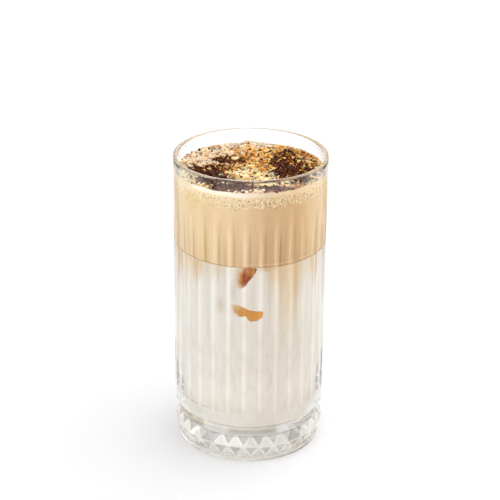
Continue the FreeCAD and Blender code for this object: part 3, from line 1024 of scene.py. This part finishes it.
# Loose pieces on the foam: the cover they lie on, how many to a square millimetre at full cover,
# and their radii; bubbles lie level and are smooth
scattered = {
    "coffeeGrains": {"cover": "powder", "low": 0.15, "perSquare": 1.0, "seed": 4, "small": 0.3,
        "large": 0.95, "flat": 0.7, "bubble": False, "slot": "coffee",
        "tints": [(28, 8, 1), (54, 18, 4), (96, 40, 9), (160, 82, 25)]},
    "goldenCrumbs": {"cover": "gold", "low": 0.2, "perSquare": 0.36, "seed": 11, "small": 0.42,
        "large": 1.2, "flat": 0.6, "bubble": False, "slot": "foam",
        "tints": [(112, 48, 8), (212, 126, 32), (255, 196, 90), (255, 238, 172)]},
    "frothBubbles": {"cover": "froth", "low": 0.2, "perSquare": 0.32, "seed": 23, "small": 0.4,
        "large": 1.3, "flat": 0.7, "bubble": True, "slot": "foam",
        "tints": [(255, 232, 192), (242, 206, 156), (255, 244, 218), (214, 164, 112)]},
    "strayGrains": {"cover": "top", "low": 0.5, "perSquare": 0.2, "seed": 37, "small": 0.42,
        "large": 0.95, "flat": 0.8, "bubble": False, "slot": "coffee",
        "tints": [(26, 8, 2), (48, 18, 6), (84, 36, 10), (118, 58, 20)]},
}


def grainTree(name, material):
    # Scatters small uneven lumps where the foam's own cover says
    s = scattered[name]
    sizes = {key: s[key] for key in ("perSquare", "low", "small", "large", "flat", "seed")}
    tree, start, size = newTree(name, sizes)
    cover = Field(tree, node(tree, "GeometryNodeInputNamedAttribute", {"Name": s["cover"]}).outputs[0])
    top = Field(tree, node(tree, "GeometryNodeInputNamedAttribute", {"Name": "top"}).outputs[0])
    amount = (cover - size["low"]).positive() * size["perSquare"] * top.do("GREATER_THAN", 0.5)
    dots = node(tree, "GeometryNodeDistributePointsOnFaces", {
        "Mesh": start.outputs["Geometry"], "Density": amount, "Seed": size["seed"]})
    lump = node(tree, "GeometryNodeMeshIcoSphere", {"Radius": 1.0,
                                                    "Subdivisions": 2 if s["bubble"] else 1})
    lean = 0.3 if s["bubble"] else 6.28
    turn = node(tree, "FunctionNodeRandomValue", {0: (0, 0, 0), 1: (lean, lean, 6.28),
                "Seed": size["seed"] + 1.0}, data_type="FLOAT_VECTOR")
    luck = node(tree, "FunctionNodeRandomValue", {2: 0.0, 3: 1.0, "Seed": size["seed"] + 2.0})
    share = Field(tree, luck.outputs[1])
    reach = size["small"] + share * share * share * (size["large"] - size["small"])
    form = node(tree, "ShaderNodeCombineXYZ", {0: reach, 1: reach * 0.85, 2: reach * size["flat"]})
    placed = node(tree, "GeometryNodeInstanceOnPoints", {
        "Points": dots.outputs["Points"], "Instance": lump.outputs[0],
        "Rotation": turn.outputs[0], "Scale": form.outputs[0]})
    shade = node(tree, "FunctionNodeRandomValue", {2: 0.0, 3: 1.0, "Seed": size["seed"] + 3.0})
    kept = node(tree, "GeometryNodeStoreNamedAttribute", {
        "Geometry": placed.outputs[0], "Name": "shade", "Value": shade.outputs[1]},
        data_type="FLOAT", domain="INSTANCE")
    closeTree(tree, kept.outputs[0], material)
    return tree, sizes


def grainPaint(name, tints, rough):
    # Each lump takes its own shade from a short run of colours
    material, tree, shader = newMaterial(name, Roughness=rough, Specular_IOR_Level=0.1)
    spot = node(tree, "ShaderNodeTexCoord").outputs["Object"]
    shade = attribute(tree, "shade") + (cloud(tree, spot, 0.6) - 0.5) * 0.5
    stops = [(place / (len(tints) - 1), tint) for place, tint in enumerate(tints)]
    tree.links.new(colourRun(tree, shade, 0.0, 1.0, stops), shader.inputs["Base Color"])
    return material


def scatterOnFoam(top):
    for name, s in scattered.items():
        material = grainPaint(name, s["tints"], 0.35 if s["bubble"] else 0.75)
        tree, sizes = grainTree(name, material)
        newPiece(name, grow(top.copy(), tree, sizes), s["slot"], smooth=s["bubble"])


# Bubbles of the froth that press on the glass; middle and spread are degrees round the front
sideBubbles = {
    "paleBubbles": {"count": 2400, "seed": 5, "low": 134.6, "high": 141.2, "small": 0.2,
        "large": 0.55, "spread": 95, "middle": 0,
        "tints": [(250, 234, 200), (240, 216, 172), (252, 242, 218), (222, 184, 130)]},
    "darkBubbles": {"count": 420, "seed": 9, "low": 134.6, "high": 140.8, "small": 0.2,
        "large": 0.46, "spread": 42, "middle": 26,
        "tints": [(60, 32, 16), (110, 70, 38), (160, 110, 62), (190, 146, 92)]},
}


def makeSideBubbles():
    for name, s in sideBubbles.items():
        luck = random.Random(s["seed"])
        shell = bmesh.new()
        shade = shell.verts.layers.float.new("shade")
        for index in range(s["count"]):
            angle = math.radians(luck.gauss(s["middle"], s["spread"]))
            height = luck.triangular(s["low"], s["high"], s["low"] + 0.75 * (s["high"] - s["low"]))
            size = s["small"] + (s["large"] - s["small"]) * luck.random() ** 3
            far = cavityRadius(height, drinkShape["reach"] - 0.55 * size)
            own = bmesh.ops.create_icosphere(shell, subdivisions=1, radius=size)["verts"]
            seat = Vector((far * math.sin(angle), -far * math.cos(angle), height))
            value = luck.random()
            for vert in own:
                vert.co += seat
                vert[shade] = value
        newPiece(name, plainMesh(name, shell), "foam", material=grainPaint(name, s["tints"], 0.4))


cameraPlace = {"distance": 745.72, "elevation": 23.988, "aimHeight": 99.32, "lens": 109.21,
               "roll": 0.506}


def makeCamera():
    c = cameraPlace
    lens = bpy.data.cameras.new("camera")
    lens.lens = c["lens"]
    lens.sensor_width = 36
    lens.clip_start = 0.01
    camera = bpy.data.objects.new("camera", lens)
    bpy.context.collection.objects.link(camera)
    rise = math.radians(c["elevation"])
    away = Vector((0, -math.cos(rise), math.sin(rise))) * c["distance"]
    camera.location = (Vector((0, 0, c["aimHeight"])) + away) * mm
    turn = (-away).to_track_quat("-Z", "Y").to_matrix()
    camera.rotation_euler = (turn @ Matrix.Rotation(math.radians(c["roll"]), 3, "Z")).to_euler()
    bpy.context.scene.camera = camera


lamps = {
    "key": {"from": (260, 90, 470), "spread": 80, "power": 1.25},
    "fill": {"from": (-380, -420, 430), "spread": 70, "power": 0.3},
}


def makeLamps():
    for name, lamp in lamps.items():
        data = bpy.data.lights.new(name, "SUN")
        data.angle = math.radians(lamp["spread"])
        data.energy = lamp["power"]
        item = bpy.data.objects.new(name, data)
        bpy.context.collection.objects.link(item)
        item.location = Vector(lamp["from"]) * mm
        item.rotation_euler = (-Vector(lamp["from"])).to_track_quat("-Z", "Y").to_euler()


# Strengths of the white surroundings for each kind of look, and the boards round the table:
# (azimuth and width in degrees, strength); floor distances here are metres
studio = {"plain": 1.0, "diffuse": 0.74, "inside": 1.7, "floorSeen": 0.06, "floorGlass": 0.15,
        "floorInside": 1.2, "soft": 5.0, "near": 0.12, "far": 0.25, "floorReach": 3.0,
        "floor": (243, 243, 245), "darkFloor": (30, 30, 30),
        "boards": [(-150, 20, 0.3), (-18, 20, 0.3), (48, 24, 0.45), (132, 24, 0.45)]}


def rayKinds(tree):
    # What looks: the camera, a first look through or off clear glass, light inside it, the rest
    rays = node(tree, "ShaderNodeLightPath")
    labels = ("Is Camera Ray", "Is Glossy Ray", "Is Transmission Ray", "Diffuse Depth")
    camera, glossy, through, bounced = [Field(tree, rays.outputs[label]) for label in labels]
    first = bounced.do("LESS_THAN", 0.5)
    clear = glossy.do("MAXIMUM", through) * first
    deep = through * first.rest()
    return camera, clear, deep, (camera + clear + deep).rest().positive()


def boardLight(x, y):
    # Darker boards stand round the table
    azimuth = y.do("ARCTAN2", x) * math.degrees(1)
    light = azimuth * 0.0 + studio["plain"]
    for middle, width, strength in studio["boards"]:
        share = hump(azimuth, middle, width / 2 + studio["soft"]) * 3.0
        light = light + share.do("MINIMUM", 1.0) * (strength - studio["plain"])
    return light


def makeWorld():
    # White all round; clear glass alone also sees the boards
    s = studio
    world = bpy.data.worlds.new("studio")
    bpy.context.scene.world = world
    world.use_nodes = True
    tree = world.node_tree
    camera, clear, deep, rest = rayKinds(tree)
    spot = node(tree, "ShaderNodeTexCoord").outputs["Generated"]
    split = node(tree, "ShaderNodeSeparateXYZ", {0: spot})
    boards = boardLight(Field(tree, split.outputs[0]), Field(tree, split.outputs[1]))
    total = camera + clear * boards + deep * s["inside"] + rest * s["diffuse"]
    light = node(tree, "ShaderNodeBackground", {"Color": (1, 1, 1, 1), "Strength": total})
    tree.links.new(light.outputs[0], tree.nodes["World Output"].inputs["Surface"])


def makeFloor():
    # A white table that keeps its shadow; far out it mirrors the boards for the glass alone
    s = studio
    reach = s["floorReach"]
    mesh = bpy.data.meshes.new("floor")
    mesh.from_pydata([(-reach, -reach, 0), (reach, -reach, 0), (reach, reach, 0),
        (-reach, reach, 0)], [], [(0, 1, 2, 3)])
    floor = bpy.data.objects.new("floor", mesh)
    bpy.context.collection.objects.link(floor)
    material, tree, shader = newMaterial("floorPaint", Roughness=0.9, Specular_IOR_Level=0.0,
        Emission_Color=(1, 1, 1, 1))
    spot = node(tree, "ShaderNodeTexCoord").outputs["Object"]
    split = node(tree, "ShaderNodeSeparateXYZ", {0: spot})
    x, y = [Field(tree, split.outputs[axis]) for axis in range(2)]
    camera, clear, deep, rest = rayKinds(tree)
    boards = boardLight(x, y)
    away = ramp((x * x + y * y).do("SQRT"), s["near"], s["far"]) * clear
    dark = boards.rest().positive() * away
    tint = mixed(tree, dark, colour(*s["floor"]), colour(*s["darkFloor"]))
    tree.links.new(tint, shader.inputs["Base Color"])
    glow = camera * s["floorSeen"] + clear * s["floorGlass"] * dark.rest()
    glow = glow + (boards - 1.0).positive() * away + deep * s["floorInside"]
    tree.links.new(glow.socket, shader.inputs["Emission Strength"])
    mesh.materials.append(material)


bpy.context.scene.view_settings.view_transform = "Standard"
makeCamera()
makeLamps()
makeWorld()
makeFloor()
print("stage ready")
makeGlass()
makeMilk()
makeIce()
for name in pockets:
    makePocket(name)
makeCoffee()
makeFoam()
makeSideBubbles()
print("drink ready")
